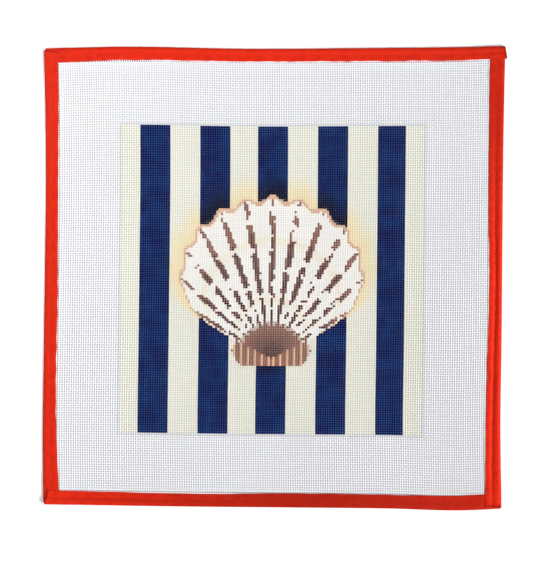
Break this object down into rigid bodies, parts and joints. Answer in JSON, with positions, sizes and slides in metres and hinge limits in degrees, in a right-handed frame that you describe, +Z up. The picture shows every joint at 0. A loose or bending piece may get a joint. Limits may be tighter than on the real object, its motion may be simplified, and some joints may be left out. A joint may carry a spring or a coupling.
{
  "type": "painted needlepoint canvas",
  "caption": "Square of woven cotton needlepoint canvas with a painted design in its middle and tape folded over its edges, ready for stitching.",
  "frame": {"origin": "on the surface that the canvas lies on, under the middle of its outline", "axes": "+X towards the right edge and +Y towards the top edge of the painted face, +Z up out of the painted face"},
  "size_m": [0.388, 0.3884, 0.0035],
  "materials": {
    "cotton_canvas": "matt, sized, open weave",
    "binding_tape": "matt cotton tape, orange-red"
  },
  "bodies": {
    "root": {"canvas": "cotton_canvas", "binding_top": "binding_tape", "binding_right": "binding_tape", "binding_bottom": "binding_tape", "binding_left": "binding_tape"}
  },
  "joints": []
}
